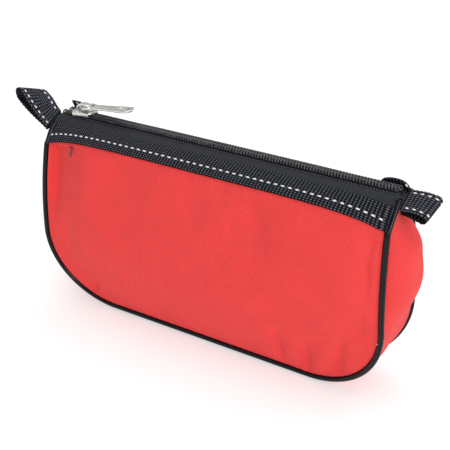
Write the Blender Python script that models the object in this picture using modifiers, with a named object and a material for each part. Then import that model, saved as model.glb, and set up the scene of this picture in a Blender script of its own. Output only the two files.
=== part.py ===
"""A small soft first aid pouch for a rucksack, as an assembly of its sewn and moulded pieces.

Frame: X runs along the zip, the front faces -Y, +Z is up. The origin is the middle of the flat base.
Two panels and one gusset strip make the body, with a piping in each seam. Above the panels two lips
of webbing and zip tape lean in to a coil zip, and a webbing loop stands out at each end.
"""

import math

import bmesh
import bpy
from mathutils import Vector

MM = 0.001
FRONT, BACK = -1, 1
LEFT, RIGHT = -1, 1

# Body, measured on the piping's centre line.
HALF_BASE = 103 * MM
HALF_TOP = 100.5 * MM
CORNER_R = 41 * MM
BASE_DEPTH = 13 * MM
MID_DEPTH = {FRONT: 20.5 * MM, BACK: 17.5 * MM}
MID_Z = 48 * MM
PIPE_R = 1.4 * MM
PIPE_Z = 1.6 * MM
GAP = 0.35 * MM
CLOTH = 1.0 * MM
END_SHIFT = 1.75 * MM
PANEL_BULGE = 5.75 * MM
GUSSET_BULGE = {LEFT: 3.0 * MM, RIGHT: 9.5 * MM}
BULGE_FROM, BULGE_FULL, BULGE_TO = 32 * MM, 68 * MM, 100 * MM
GUSSET_RISE = 24 * MM
GUSSET_PROUD = 0.3 * MM
SLANT_INSET = 1.0 * MM
SLANT_RUN = 4 * MM

# Lips: the lower edge dips and draws in at both ends of the zip.
LIP_HALF = 98.7 * MM
LIP_DEPTH = {FRONT: 23 * MM, BACK: 20 * MM}
LIP_Z = {FRONT: 102.5 * MM, BACK: 95.5 * MM}
END_DEPTH = {FRONT: 17 * MM, BACK: 12 * MM}
END_Z = {FRONT: 95 * MM, BACK: 92 * MM}
LIP_CROWN = 1.0 * MM
WEBBING = 1.0 * MM
BAND_SHARE = 0.72
LIP_COLUMNS = 32
TAPE_START = 0.30
TAPE = 0.6 * MM
PANEL_TOP_GAP = 1.1 * MM
ROW_CROWDING = 1.8

# Zip.
ZIP_Z = 109.8 * MM
COIL_R = 1.2 * MM
COIL_Y = 1.45 * MM
COIL_SPREAD = 1.3 * MM
SPREAD_X = -82 * MM
SPREAD_LENGTH = 10 * MM
TAPE_Z = ZIP_Z - COIL_R - 0.3 * MM - TAPE / 2
TAPE_FLAT = 6.3 * MM
TAPE_INNER = 0.4 * MM
GUSSET_TOP_Z = 107.3 * MM

# Slider and puller.
SLIDER_X = -86 * MM
SLIDER_LENGTH = 13 * MM
SLIDER_LEAD = 5.5 * MM
SLIDER_TRAIL = 4.2 * MM
PLATE = 1.0 * MM
PLATE_TOP_Z = ZIP_Z + COIL_R + 0.3 * MM + PLATE
PLATE_LOW_Z = TAPE_Z - TAPE / 2 - 0.35 * MM - PLATE
PIVOT_Z = PLATE_TOP_Z + 1.75 * MM
BRIDGE_WIDTH = 3.6 * MM
BRIDGE_THICK = 0.9 * MM
BRIDGE_HALF = 4.6 * MM
BRIDGE_HIGH = 3.6 * MM
BRIDGE_GAP = 0.3 * MM
DIVIDER_R = 0.8 * MM
DIVIDER_X = -4.2 * MM
RAIL_LENGTH = 10.2 * MM
RAIL_THICK = 0.7 * MM
RAIL_DROP = 2.0 * MM
RAIL_Y = 4.3 * MM
PULLER_LENGTH = 33 * MM
PULLER_THICK = 1.2 * MM
PULLER_TILT = math.radians(7)
CROSSBAR_BACK = 0.6 * MM
CROSSBAR_FRONT = 0.7 * MM
EYE_X = 2.6 * MM
EYE_R = 4.6 * MM
EYE_HOLE_X = 3.9 * MM
EYE_HOLE_R = 2.5 * MM
GRIP_R = 4.2 * MM
LEAF_THICK = 0.2 * MM
LEAF_GAP = 0.3 * MM

# End loops: a folded webbing. Gaps are between the middles of its two layers, so the one at the root
# is more than the webbing's thickness.
LOOP_WIDTH = 13.5 * MM
LOOP_THICK = 1.1 * MM
LOOP_ROOT_GAP = 1.5 * MM
LOOP_ROOT_WIDE = (0.0, 0.9, 0.43)

# Contents: packs standing in a row, then two rolled bandages at one end and a reel of tape at the other.
PACK_FLOOR_Z = 2.2 * MM
PACK_X = -11 * MM
PACK_BEVEL = 0.6 * MM
ROLLER_X = 52 * MM
ROLLER_LENGTH = 42 * MM
REEL_X = -70 * MM

PARTS = "first_aid_pouch"
CUTTERS = "cutters"


def clear_scene():
    for obj in list(bpy.data.objects):
        bpy.data.objects.remove(obj, do_unlink=True)
    for name in (PARTS, CUTTERS):
        collection = bpy.data.collections.new(name)
        bpy.context.scene.collection.children.link(collection)


def material(name, colour, roughness, metallic=0.0):
    made = bpy.data.materials.new(name)
    made.use_nodes = True
    shader = made.node_tree.nodes["Principled BSDF"]
    shader.inputs["Base Color"].default_value = (*colour, 1.0)
    shader.inputs["Roughness"].default_value = roughness
    shader.inputs["Metallic"].default_value = metallic
    return made


def place(name, data, paint, collection=PARTS):
    obj = bpy.data.objects.new(name, data)
    bpy.data.collections[collection].objects.link(obj)
    if paint is not None:
        obj.data.materials.append(paint)
    if collection == CUTTERS:
        obj.hide_render = True
        obj.display_type = "WIRE"
    return obj


def smooth(t):
    t = min(1.0, max(0.0, t))
    return t * t * (3 - 2 * t)


# --- the shared shape of the pouch -------------------------------------------------------------


def half_width(z, inset=0.0):
    """Half of the body's width at a height, with the two round bottom corners, or of a shape inside it."""
    if z >= PIPE_Z + CORNER_R:
        rise = min(1.0, (z - PIPE_Z - CORNER_R) / (END_Z[FRONT] - PIPE_Z - CORNER_R))
        return HALF_BASE + (HALF_TOP - HALF_BASE) * rise - inset
    drop = PIPE_Z + CORNER_R - z
    reach = max(0.0, (CORNER_R - inset) ** 2 - drop**2)
    return HALF_BASE - CORNER_R + math.sqrt(reach)


def seam_depth(z, side):
    """Distance of a seam from the middle plane at a height, as far as the zip's ends."""
    top_z = END_Z[side]
    if z > top_z:
        share = (z - top_z) / (ZIP_Z - 1.8 * MM - top_z)
        return END_DEPTH[side] + (TAPE_FLAT - END_DEPTH[side]) * share
    low = (z - MID_Z) * (z - top_z) / ((PIPE_Z - MID_Z) * (PIPE_Z - top_z))
    mid = (z - PIPE_Z) * (z - top_z) / ((MID_Z - PIPE_Z) * (MID_Z - top_z))
    high = (z - PIPE_Z) * (z - MID_Z) / ((top_z - PIPE_Z) * (top_z - MID_Z))
    return BASE_DEPTH * low + MID_DEPTH[side] * mid + END_DEPTH[side] * high


def fullness(u):
    """How far along a lip, from 0 at the zip's ends to 1 over most of its length."""
    return 1 - abs(u) ** 6


def lip_edge(u, side):
    """Depth and height of a lip's lower edge."""
    full = fullness(u)
    depth = END_DEPTH[side] + (LIP_DEPTH[side] - END_DEPTH[side]) * full
    return depth, END_Z[side] + (LIP_Z[side] - END_Z[side]) * full


def seam_path(top_z, steps_side=14, steps_corner=9, steps_base=14):
    """Points (x, z, outward x, outward z) along the U of a seam, from the left end over the base."""
    corner_z = PIPE_Z + CORNER_R
    corner_x = HALF_BASE - CORNER_R
    right = []
    for i in range(steps_base // 2 + 1):
        right.append((corner_x * 2 * i / steps_base, PIPE_Z, 0.0, -1.0))
    for i in range(1, steps_corner + 1):
        turn = math.pi / 2 * i / steps_corner
        out = (math.sin(turn), -math.cos(turn))
        right.append((corner_x + CORNER_R * out[0], corner_z + CORNER_R * out[1], *out))
    for i in range(1, steps_side + 1):
        z = corner_z + (top_z - corner_z) * i / steps_side
        right.append((half_width(z), z, 1.0, 0.0))
    left = [(-x, z, -nx, nz) for x, z, nx, nz in reversed(right[1:])]
    return left + right


# --- builders ------------------------------------------------------------------------------------


def sheet(name, columns, rows, point, thickness, paint, inward=True):
    """A cloth sheet: a grid mapped by point(u, v), u from -1 to 1 and v from 0 to 1, then thickened."""
    mesh = bpy.data.meshes.new(name)
    grid = bmesh.new()
    bmesh.ops.create_grid(grid, x_segments=columns, y_segments=rows, size=1.0)
    for vertex in grid.verts:
        vertex.co = Vector(point(vertex.co.x, (vertex.co.y + 1) / 2))
    grid.to_mesh(mesh)
    grid.free()
    obj = place(name, mesh, paint)
    solid = obj.modifiers.new("thickness", "SOLIDIFY")
    solid.thickness = thickness
    solid.offset = -1.0 if inward else 0.0
    mesh.shade_smooth()
    mesh.set_sharp_from_angle(angle=math.radians(50))
    return obj


def tube(name, points, radius, paint, resolution=2):
    curve = bpy.data.curves.new(name, "CURVE")
    curve.dimensions = "3D"
    curve.bevel_depth = radius
    curve.bevel_resolution = resolution
    curve.use_fill_caps = True
    spline = curve.splines.new("POLY")
    spline.points.add(len(points) - 1)
    for control, point in zip(spline.points, points):
        control.co = (*point, 1.0)
    return place(name, curve, paint)


def flat_solid(name, outlines, thickness, paint, collection=PARTS):
    """A flat plate in the XY plane, centred on z = 0: the first outline less the others."""
    curve = bpy.data.curves.new(name, "CURVE")
    curve.dimensions = "2D"
    curve.fill_mode = "BOTH"
    curve.extrude = thickness / 2
    for outline in outlines:
        spline = curve.splines.new("POLY")
        spline.points.add(len(outline) - 1)
        spline.use_cyclic_u = True
        for control, point in zip(spline.points, outline):
            control.co = (point[0], point[1], 0.0, 1.0)
    helper = bpy.data.objects.new(name + "_curve", curve)
    bpy.context.scene.collection.objects.link(helper)
    bpy.context.view_layer.update()
    graph = bpy.context.evaluated_depsgraph_get()
    mesh = bpy.data.meshes.new_from_object(helper.evaluated_get(graph))
    bpy.data.objects.remove(helper, do_unlink=True)
    weld = bmesh.new()
    weld.from_mesh(mesh)
    bmesh.ops.remove_doubles(weld, verts=weld.verts, dist=0.00001)
    bmesh.ops.recalc_face_normals(weld, faces=weld.faces)
    weld.to_mesh(mesh)
    weld.free()
    mesh.materials.clear()
    return place(name, mesh, paint, collection)


def box(name, size, centre, paint, bevel=0.0, collection=PARTS):
    mesh = bpy.data.meshes.new(name)
    shape = bmesh.new()
    bmesh.ops.create_cube(shape, size=1.0)
    for vertex in shape.verts:
        vertex.co = Vector(a * b for a, b in zip(vertex.co, size))
    shape.to_mesh(mesh)
    shape.free()
    obj = place(name, mesh, paint, collection)
    obj.location = centre
    if bevel:
        rounding = obj.modifiers.new("rounding", "BEVEL")
        rounding.width = bevel
        rounding.segments = 2
    return obj


def turned(name, profile, steps, paint):
    """A profile of (radius, height), top to bottom down its outer side, turned about Z."""
    mesh = bpy.data.meshes.new(name)
    edges = [(i, i + 1) for i in range(len(profile) - 1)]
    mesh.from_pydata([(r, 0.0, z) for r, z in profile], edges, [])
    obj = place(name, mesh, paint)
    screw = obj.modifiers.new("turning", "SCREW")
    screw.steps = steps
    screw.render_steps = steps
    screw.use_merge_vertices = True
    screw.merge_threshold = 0.00001
    return obj


def boolean(target, other, operation):
    step = target.modifiers.new(other.name, "BOOLEAN")
    step.operation = operation
    step.object = other
    return target


def arc(centre, radius, start, end, steps, stretch=1.0):
    """Points of a round stretch in a plane, angles in degrees."""
    points = []
    for i in range(steps + 1):
        turn = math.radians(start + (end - start) * i / steps)
        points.append((centre[0] + radius * math.cos(turn) * stretch, centre[1] + radius * math.sin(turn)))
    return points


# --- body ----------------------------------------------------------------------------------------


def panel(name, side, paint):
    low_z = PIPE_Z + END_SHIFT

    def point(u, v):
        v = v**ROW_CROWDING
        edge_z = low_z + (END_Z[side] - PANEL_TOP_GAP - low_z) * v
        width = half_width(edge_z, END_SHIFT)
        top_z = lip_edge(u, side)[1] - PANEL_TOP_GAP
        z = low_z + (top_z - low_z) * v
        round_full = 1 - abs(u) ** 2.6
        top_full = round_full + (fullness(u) - round_full) * v
        to_lip = (LIP_DEPTH[side] - END_DEPTH[side]) * v * top_full
        swell = to_lip + PANEL_BULGE * math.sin(math.pi * v) * round_full
        return (-side * u * width, side * (seam_depth(edge_z, side) + swell), z)

    return sheet(name, 22, 14, point, CLOTH, paint)


def gusset_inset(z, side):
    """How far the gusset's edge stays from the seam's centre line, more where the seam slants at the top."""
    return END_SHIFT + SLANT_INSET * smooth((z - END_Z[side] + SLANT_RUN) / SLANT_RUN)


def gusset_fullness(z):
    """How much of its swell the gusset has at a height: none at the corners and none at the zip."""
    filling = smooth((z - BULGE_FROM) / (BULGE_FULL - BULGE_FROM))
    return filling * smooth((BULGE_TO - z) / (BULGE_TO - BULGE_FULL))


def gusset(paint):
    path = seam_path(GUSSET_TOP_Z)
    last = len(path) - 1

    def point(u, v):
        x, z, out_x, out_z = path[round(v * last)]
        rise = smooth((z - PIPE_Z) / GUSSET_RISE)
        swell = GUSSET_BULGE[RIGHT if x > 0 else LEFT] * gusset_fullness(z) * (1 - abs(u) ** 3)
        shift = PIPE_Z + (GUSSET_PROUD - PIPE_Z) * rise + swell
        front, back = (side * (seam_depth(z, side) - gusset_inset(z, side)) for side in (FRONT, BACK))
        y = front + (back - front) * (1 + u) / 2
        return (x + out_x * shift, y, z + out_z * shift)

    return sheet("gusset", 8, last, point, CLOTH, paint)


def piping(name, side, paint):
    path = seam_path(GUSSET_TOP_Z)
    points = [(x, side * seam_depth(z, side), z) for x, z, _, _ in path]
    return tube(name, points, PIPE_R, paint)


# --- lips ----------------------------------------------------------------------------------------


def lip_point(u, t, side, lift):
    """A point of a lip, t from 0 at its lower edge to 1 where the tape turns level under the coil."""
    depth, z = lip_edge(u, side)
    run = Vector((TAPE_FLAT - depth, TAPE_Z - z))
    normal = Vector((run.y, -run.x)).normalized()
    crown = LIP_CROWN * math.sin(math.pi * t) + lift
    spot = Vector((depth, z)) + run * t + normal * crown
    return (-side * u * LIP_HALF, side * spot.x, spot.y)


def spread(x):
    """How far the two zip halves part where the slider's divider stands between them."""
    return COIL_SPREAD * smooth((SPREAD_X - x) / SPREAD_LENGTH)


def band(name, side, paint):
    lift = TAPE / 2 + GAP + WEBBING

    def point(u, v):
        return lip_point(u, v * BAND_SHARE, side, lift)

    return sheet(name, LIP_COLUMNS, 4, point, WEBBING, paint)


def zip_tape(name, side, paint):
    rows = 7

    def point(u, v):
        step = round(v * rows)
        if step < rows - 1:
            share = TAPE_START + (1 - TAPE_START) * step / (rows - 2)
            return lip_point(u, share, side, TAPE / 2)
        x = -side * u * LIP_HALF
        return (x, side * (TAPE_INNER + spread(x)), TAPE_Z + TAPE / 2)

    return sheet(name, LIP_COLUMNS, rows, point, TAPE, paint)


def coil(name, side, paint):
    count = 40
    points = []
    for i in range(count + 1):
        x = LIP_HALF * (2 * i / count - 1)
        points.append((x, side * (COIL_Y + spread(x)), ZIP_Z))
    return tube(name, points, COIL_R, paint, 1)


# --- slider and puller -----------------------------------------------------------------------------


def slider_outline(grow=0.0):
    """The slider's shield shape seen from above, wide where the zip halves part."""
    lead_x = -SLIDER_LENGTH / 2 - grow
    trail_x = SLIDER_LENGTH / 2 + grow
    lead_y = SLIDER_LEAD + grow
    trail_y = SLIDER_TRAIL + grow
    upper = [(trail_x, 0.0), (trail_x, trail_y * 0.7), (trail_x - 1.2 * MM, trail_y)]
    upper += [(-1.0 * MM, trail_y + 0.3 * MM), (lead_x + 3.0 * MM, lead_y)]
    upper += [(lead_x + 1.0 * MM, lead_y * 0.9), (lead_x, lead_y * 0.5)]
    notch = [(lead_x + 0.8 * MM, 0.0)]
    lower = [(x, -y) for x, y in reversed(upper[1:])]
    return upper + notch + lower


def slider_body(paint):
    """Two plates round the chain, joined by the divider, with a rail down each side."""
    body = flat_solid("slider_body", [slider_outline()], PLATE, paint)
    body.location = (SLIDER_X, 0.0, PLATE_TOP_Z - PLATE / 2)
    lower = flat_solid("slider_lower_plate", [slider_outline()], PLATE, None, CUTTERS)
    lower.location = (SLIDER_X, 0.0, PLATE_LOW_Z + PLATE / 2)
    boolean(body, lower, "UNION")
    height = PLATE_TOP_Z - PLATE_LOW_Z - PLATE
    post = flat_solid("slider_divider", [arc((0, 0), DIVIDER_R, 0, 330, 11, 2.1)], height, None, CUTTERS)
    post.location = (SLIDER_X + DIVIDER_X, 0.0, (PLATE_TOP_Z + PLATE_LOW_Z) / 2)
    boolean(body, post, "UNION")
    rail_size = (RAIL_LENGTH, RAIL_THICK, RAIL_DROP + PLATE / 2)
    for side in (FRONT, BACK):
        rail = box("slider_rail", rail_size, (0, 0, 0), None, 0.0, CUTTERS)
        rail_z = PLATE_TOP_Z - PLATE / 2 - RAIL_DROP / 2 - 0.1 * MM
        rail.location = (SLIDER_X + 0.2 * MM, side * RAIL_Y, rail_z)
        rail.rotation_euler = (0.0, 0.0, -side * math.atan2(SLIDER_LEAD - SLIDER_TRAIL, SLIDER_LENGTH))
        boolean(body, rail, "UNION")
    return body


def slider_bridge(paint):
    """The arch over the slider that holds the puller's crossbar."""
    inner_half, inner_high = BRIDGE_HALF - BRIDGE_THICK, BRIDGE_HIGH - BRIDGE_THICK
    outer = arc((0, 0), 1.0, 0, 180, 14)
    outline = [(x * BRIDGE_HALF, max(0.0, y) ** 0.7 * BRIDGE_HIGH) for x, y in outer]
    outline += [(x * inner_half, max(0.0, y) ** 0.7 * inner_high) for x, y in reversed(outer)]
    bridge = flat_solid("slider_bridge", [outline], BRIDGE_WIDTH, paint)
    bridge.rotation_euler = (math.pi / 2, 0.0, 0.0)
    bridge.location = (SLIDER_X, 0.0, PLATE_TOP_Z + BRIDGE_GAP)
    return bridge


def lock_spring(paint):
    """The leaf under the bridge whose toe drops between the coils."""
    leaf = box("lock_spring", (6.0 * MM, 2.0 * MM, LEAF_THICK), (0, 0, 0), paint)
    leaf.location = (SLIDER_X + 0.2 * MM, 0.0, PLATE_TOP_Z + LEAF_GAP + LEAF_THICK / 2)
    return leaf


def puller_outline():
    """The puller seen from above: an eye cut off flat at its crossbar, a flat shank and a rounded grip."""
    crossbar_y = math.sqrt(EYE_R**2 - (EYE_X + CROSSBAR_BACK) ** 2)
    eye = [(-CROSSBAR_BACK, crossbar_y)]
    eye += arc((EYE_X, 0.0), EYE_R, 120, 40, 4)
    shank = [(9.5 * MM, 2.7 * MM), (20.0 * MM, 2.9 * MM), (24.0 * MM, 4.0 * MM)]
    tip = arc((PULLER_LENGTH - GRIP_R, 0.0), GRIP_R, 80, 0, 4)
    upper = eye + shank + tip
    lower = [(x, -y) for x, y in reversed(upper[:-1])]
    return upper + lower


def puller_eye_hole():
    """The eye's hole: square beside the crossbar, so the bridge clears it as it swings, and round beyond."""
    beside = [(CROSSBAR_FRONT, 1.9 * MM), (CROSSBAR_FRONT + 0.4 * MM, 2.35 * MM)]
    upper = beside + arc((EYE_HOLE_X, 0.0), EYE_HOLE_R, 80, 0, 4)
    lower = [(x, -y) for x, y in reversed(upper[:-1])]
    return upper + lower


def puller(paint):
    """The pull tab. Its crossbar passes under the bridge and lies on the hinge's axis."""
    grip_hole = [(PULLER_LENGTH - 5.6 * MM + 3.4 * MM * math.cos(a), 2.1 * MM * math.sin(a))
                 for a in (2 * math.pi * i / 14 for i in range(14))]
    tab = flat_solid("puller", [puller_outline(), puller_eye_hole(), grip_hole], PULLER_THICK, paint)
    tab.location = (SLIDER_X, 0.0, PIVOT_Z)
    tab.rotation_euler = (0.0, -PULLER_TILT, 0.0)
    return tab


# --- loops -----------------------------------------------------------------------------------------


def loop(name, root, along, wide_tip, length, gap, droop, slant, paint):
    """A webbing folded back on itself: out along one layer, round the fold and back along the other.

    The slant is how much further the front edge reaches than the back edge.
    """
    root, along = Vector(root), Vector(along).normalized()
    wide_root, wide_tip = Vector(LOOP_ROOT_WIDE).normalized(), Vector(wide_tip).normalized()
    steps, turns = 8, 6
    line = []
    for i in range(steps + 1):
        share = i / steps
        line.append((share * (length - gap / 2), LOOP_ROOT_GAP + (gap - LOOP_ROOT_GAP) * smooth(share), 0.0))
    for i in range(1, turns):
        line.append((length - gap / 2, gap, math.pi * i / turns))
    for i in range(steps, -1, -1):
        share = i / steps
        line.append((share * (length - gap / 2), -LOOP_ROOT_GAP - (gap - LOOP_ROOT_GAP) * smooth(share), 0.0))
    last = len(line) - 1

    def point(u, v):
        run, offset, turn = line[round((u + 1) / 2 * last)]
        share = run / length
        wide = wide_root.lerp(wide_tip, smooth(share)).normalized()
        out = along.cross(wide).normalized()
        if turn:
            run, offset = run + gap / 2 * math.sin(turn), offset * math.cos(turn)
        run += slant * share * (0.5 - v)
        sag = droop * share**2
        centre = root + along * run + out * offset / 2 - Vector((0, 0, sag))
        return centre + wide * LOOP_WIDTH * (v - 0.5)

    return sheet(name, last, 4, point, LOOP_THICK, paint, False)


def left_loop(paint):
    root = (-103.3 * MM, -6.5 * MM, 104.8 * MM)
    return loop("left_loop", root, (-0.85, 0.156, 0.504), (0.593, 0.795, -0.127), 23.5 * MM, 7.4 * MM, 0.0,
                3.2 * MM, paint)


def right_loop(paint):
    root = (102.6 * MM, -3.5 * MM, 105.8 * MM)
    return loop("right_loop", root, (1.0, 0.0, 0.06), LOOP_ROOT_WIDE, 13.2 * MM, 4.4 * MM, 2.4 * MM,
                -3.0 * MM, paint)


# --- contents ----------------------------------------------------------------------------------------


def roller(name, radius, length, centre, paint):
    """A rolled bandage, its end faces dished towards the core."""
    half = length / 2
    dish = radius * 0.25
    profile = [(0.0, half - 1.5 * MM), (dish, half - 1.5 * MM), (dish * 1.3, half), (radius - 1 * MM, half)]
    profile += [(radius, half - 1 * MM), (radius, 1 * MM - half), (radius - 1 * MM, -half)]
    profile += [(dish * 1.3, -half), (dish, 1.5 * MM - half), (0.0, 1.5 * MM - half)]
    obj = turned(name, profile, 20, paint)
    obj.rotation_euler = (0.0, math.pi / 2, 0.0)
    obj.location = centre
    return obj


def tape_reel(tape_paint, core_paint):
    radius, bore, wide = 17 * MM, 9.5 * MM, 12.5 * MM
    spot = (REEL_X, 0.0, 24.5 * MM)
    for name, outer, inner, half, paint in (
        ("tape_roll", radius, bore + GAP, wide / 2, tape_paint),
        ("tape_core", bore, bore - 1.5 * MM, wide / 2 + 0.4 * MM, core_paint),
    ):
        profile = [(inner, half), (outer, half), (outer, -half), (inner, -half), (inner, half)]
        ring = turned(name, profile, 24, paint)
        ring.rotation_euler = (math.pi / 2, 0.0, 0.0)
        ring.location = spot


def contents(paints):
    packs = (
        ("gauze_pack_1", 4.2, 74, 56, -9.0, paints["gauze"]),
        ("gauze_pack_2", 4.2, 74, 56, -4.3, paints["gauze"]),
        ("plaster_pack", 7.0, 72, 44, 1.8, paints["carton"]),
        ("wipe_sachet_1", 1.8, 52, 50, 6.7, paints["sachet"]),
        ("wipe_sachet_2", 1.8, 52, 50, 9.0, paints["sachet"]),
    )
    for name, thick, long, high, y, paint in packs:
        size = (long * MM, thick * MM, high * MM)
        box(name, size, (PACK_X, y * MM, PACK_FLOOR_Z + high * MM / 2), paint, PACK_BEVEL)
    roller("roller_bandage_large", 15 * MM, ROLLER_LENGTH, (ROLLER_X, 0.0, 19.0 * MM), paints["crepe"])
    roller("roller_bandage_small", 13 * MM, ROLLER_LENGTH, (ROLLER_X, 0.0, 47.5 * MM), paints["crepe"])
    tape_reel(paints["tape"], paints["core"])
    tweezers(paints["steel"])


def tweezers(paint):
    """Two sprung arms joined at the heel, lying on the packs."""
    reach, open_half = 88 * MM, 4.5 * MM
    outer = [(0.0, 1.2 * MM), (20 * MM, 3.2 * MM), (55 * MM, open_half), (reach, 1.6 * MM)]
    inner = [(reach, 0.7 * MM), (55 * MM, open_half - 1 * MM), (20 * MM, 2.2 * MM), (6 * MM, 0.0)]
    lower_inner = [(x, -y) for x, y in reversed(inner[:-1])]
    lower_outer = [(x, -y) for x, y in reversed(outer)]
    tool = flat_solid("tweezers", [outer + inner + lower_inner + lower_outer], 5 * MM, paint)
    tool.location = (-60 * MM, -5 * MM, 61.2 * MM)


def build():
    clear_scene()
    red = material("red_polyester", (0.80, 0.045, 0.05), 0.7)
    pvc = material("black_pvc", (0.015, 0.016, 0.02), 0.25)
    webbing = material("black_webbing", (0.012, 0.013, 0.016), 0.75)
    woven = material("zip_tape", (0.028, 0.03, 0.038), 0.8)
    nylon = material("nylon_coil", (0.01, 0.011, 0.013), 0.4)
    nickel = material("nickel", (0.78, 0.77, 0.74), 0.2, 1.0)
    steel = material("spring_steel", (0.55, 0.55, 0.56), 0.3, 1.0)
    paints = {
        "gauze": material("gauze_sachet", (0.85, 0.87, 0.88), 0.6),
        "carton": material("plaster_carton", (0.75, 0.68, 0.55), 0.6),
        "sachet": material("foil_sachet", (0.80, 0.82, 0.85), 0.35),
        "crepe": material("crepe_cotton", (0.85, 0.80, 0.70), 0.9),
        "tape": material("zinc_tape", (0.85, 0.82, 0.76), 0.8),
        "core": material("tape_core", (0.80, 0.80, 0.80), 0.5),
        "steel": steel,
    }
    for word, side in (("front", FRONT), ("back", BACK)):
        panel(word + "_panel", side, red)
        piping(word + "_piping", side, pvc)
        band(word + "_band", side, webbing)
        zip_tape(word + "_zip_tape", side, woven)
        coil(word + "_coil", side, nylon)
    gusset(red)
    slider_body(nickel)
    slider_bridge(nickel)
    lock_spring(steel)
    puller(nickel)
    left_loop(webbing)
    right_loop(webbing)
    contents(paints)


build()
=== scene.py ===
"""The looks of the soft first aid pouch: cloth, webbing, coil zip, piping, slider and dressings.

Frame: X runs along the zip, the front faces -Y, +Z is up. All lengths are in metres. The shape
functions follow the ones the solids were made with, sampled more finely and with softer detail.
"""

import math

import bmesh
import bpy
import numpy as np
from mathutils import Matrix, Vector, noise


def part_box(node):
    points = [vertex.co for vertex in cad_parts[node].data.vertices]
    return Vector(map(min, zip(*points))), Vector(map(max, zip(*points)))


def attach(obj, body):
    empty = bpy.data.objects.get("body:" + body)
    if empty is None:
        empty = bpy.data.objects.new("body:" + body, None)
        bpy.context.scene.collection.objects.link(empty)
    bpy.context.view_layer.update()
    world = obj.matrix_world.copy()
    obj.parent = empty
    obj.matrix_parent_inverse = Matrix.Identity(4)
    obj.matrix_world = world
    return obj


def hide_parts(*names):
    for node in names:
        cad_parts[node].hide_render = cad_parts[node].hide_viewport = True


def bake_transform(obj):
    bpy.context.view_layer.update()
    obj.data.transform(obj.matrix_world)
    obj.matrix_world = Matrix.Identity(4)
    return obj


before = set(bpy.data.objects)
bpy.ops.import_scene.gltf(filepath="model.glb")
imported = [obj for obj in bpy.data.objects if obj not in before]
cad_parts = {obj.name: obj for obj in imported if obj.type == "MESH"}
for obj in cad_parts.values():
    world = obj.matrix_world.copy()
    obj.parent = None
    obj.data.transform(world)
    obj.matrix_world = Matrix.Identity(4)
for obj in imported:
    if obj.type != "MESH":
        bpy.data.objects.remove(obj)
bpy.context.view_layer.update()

MM = 0.001
FRONT, BACK = -1, 1
LEFT, RIGHT = -1, 1
WORDS = {FRONT: "front", BACK: "back"}

# Body and lips.
HALF_BASE = 103 * MM
HALF_TOP = 100.5 * MM
CORNER_R = 41 * MM
BASE_DEPTH = 13 * MM
MID_DEPTH = {FRONT: 20.5 * MM, BACK: 17.5 * MM}
MID_Z = 48 * MM
PIPE_R = 1.4 * MM
PIPE_Z = 1.6 * MM
GAP = 0.35 * MM
CLOTH = 1.0 * MM
END_SHIFT = 1.75 * MM
PANEL_BULGE = 5.75 * MM
GUSSET_BULGE = {LEFT: 3.0 * MM, RIGHT: 9.5 * MM}
BULGE_FROM, BULGE_FULL = 32 * MM, 68 * MM
BULGE_FADE, BULGE_TO = 82 * MM, 101 * MM
SLANT_INSET = 1.0 * MM
LIP_HALF = 98.7 * MM
LIP_DEPTH = {FRONT: 23 * MM, BACK: 20 * MM}
LIP_Z = {FRONT: 102.5 * MM, BACK: 95.5 * MM}
END_DEPTH = {FRONT: 17 * MM, BACK: 12 * MM}
END_Z = {FRONT: 95 * MM, BACK: 92 * MM}
LIP_CROWN = 1.0 * MM
WEBBING = 1.0 * MM
BAND_SHARE = 0.72
TAPE_START = 0.30
TAPE = 0.6 * MM
PANEL_TOP_GAP = 0.5 * MM
ROW_CROWDING = 1.8

# Zip, slider and puller.
ZIP_Z = 109.8 * MM
COIL_R = 1.2 * MM
COIL_SPREAD = 1.3 * MM
SPREAD_X = -82 * MM
SPREAD_LENGTH = 10 * MM
TAPE_Z = ZIP_Z - COIL_R - 0.3 * MM - TAPE / 2
TAPE_FLAT = 6.3 * MM
TAPE_INNER = 0.4 * MM
GUSSET_TOP_Z = 107.3 * MM
COIL_PITCH = 1.6 * MM
COIL_WIRE = 0.46 * MM
COIL_INNER = -0.35 * MM
COIL_STITCH = (1.6 * MM, 1.15 * MM, 0.40 * MM)
COIL_OUTER = 2.9 * MM
SLIDER_X = -86 * MM
SLIDER_LENGTH = 13 * MM
SLIDER_LEAD = 5.5 * MM
SLIDER_TRAIL = 4.2 * MM
PLATE = 1.0 * MM
PLATE_TOP_Z = ZIP_Z + COIL_R + 0.3 * MM + PLATE
PLATE_LOW_Z = TAPE_Z - TAPE / 2 - 0.35 * MM - PLATE
PIVOT_Z = PLATE_TOP_Z + 1.75 * MM
BRIDGE_WIDTH = 3.6 * MM
PULLER_LENGTH = 33 * MM
PULLER_THICK = 1.2 * MM
PULLER_TILT = math.radians(7)

# The panel's top edge goes on under the band, these shares of the lip past its lower edge.
TUCK = (1.04, 1.09)

# The seam allowance inside each lip: its share of the lip's length and height, how far inside it
# lies, and where its lower edge hangs, inward and down from the lip's edge.
HEM_REACH = 0.92
HEM_SHARE = 0.27
HEM_INSIDE = 0.8 * MM
HEM_FOLD = (1.2 * MM, 2.0 * MM)

# Weaves.
TWILL_PITCH = 1.15 * MM
YARN_PITCH = 0.9 * MM

# Webbing and stitches.
BEAD_PITCH = 1.25 * MM
RIB_PITCH = 1.75 * MM
RIB_HEIGHT = 0.36 * MM
STITCH_PITCH = 3.8 * MM
STITCH_LENGTH = 2.0 * MM
STITCH_R = 0.43 * MM
BAND_STITCH_SHARE = 0.27
BAND_REACH = 1.5 * MM
LOOP_WIDTH = 13.5 * MM
LOOP_THICK = 1.1 * MM
LOOP_ROOT_GAP = 1.5 * MM
LOOP_ROOT_WIDE = (0.0, 0.9, 0.43)

# The slack corner of the front panel.
CORNER_TURN = 5.4 * MM
CORNER_TURN_X = (-95 * MM, -69 * MM)
CORNER_TURN_Z = (40 * MM, 78 * MM)

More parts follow.
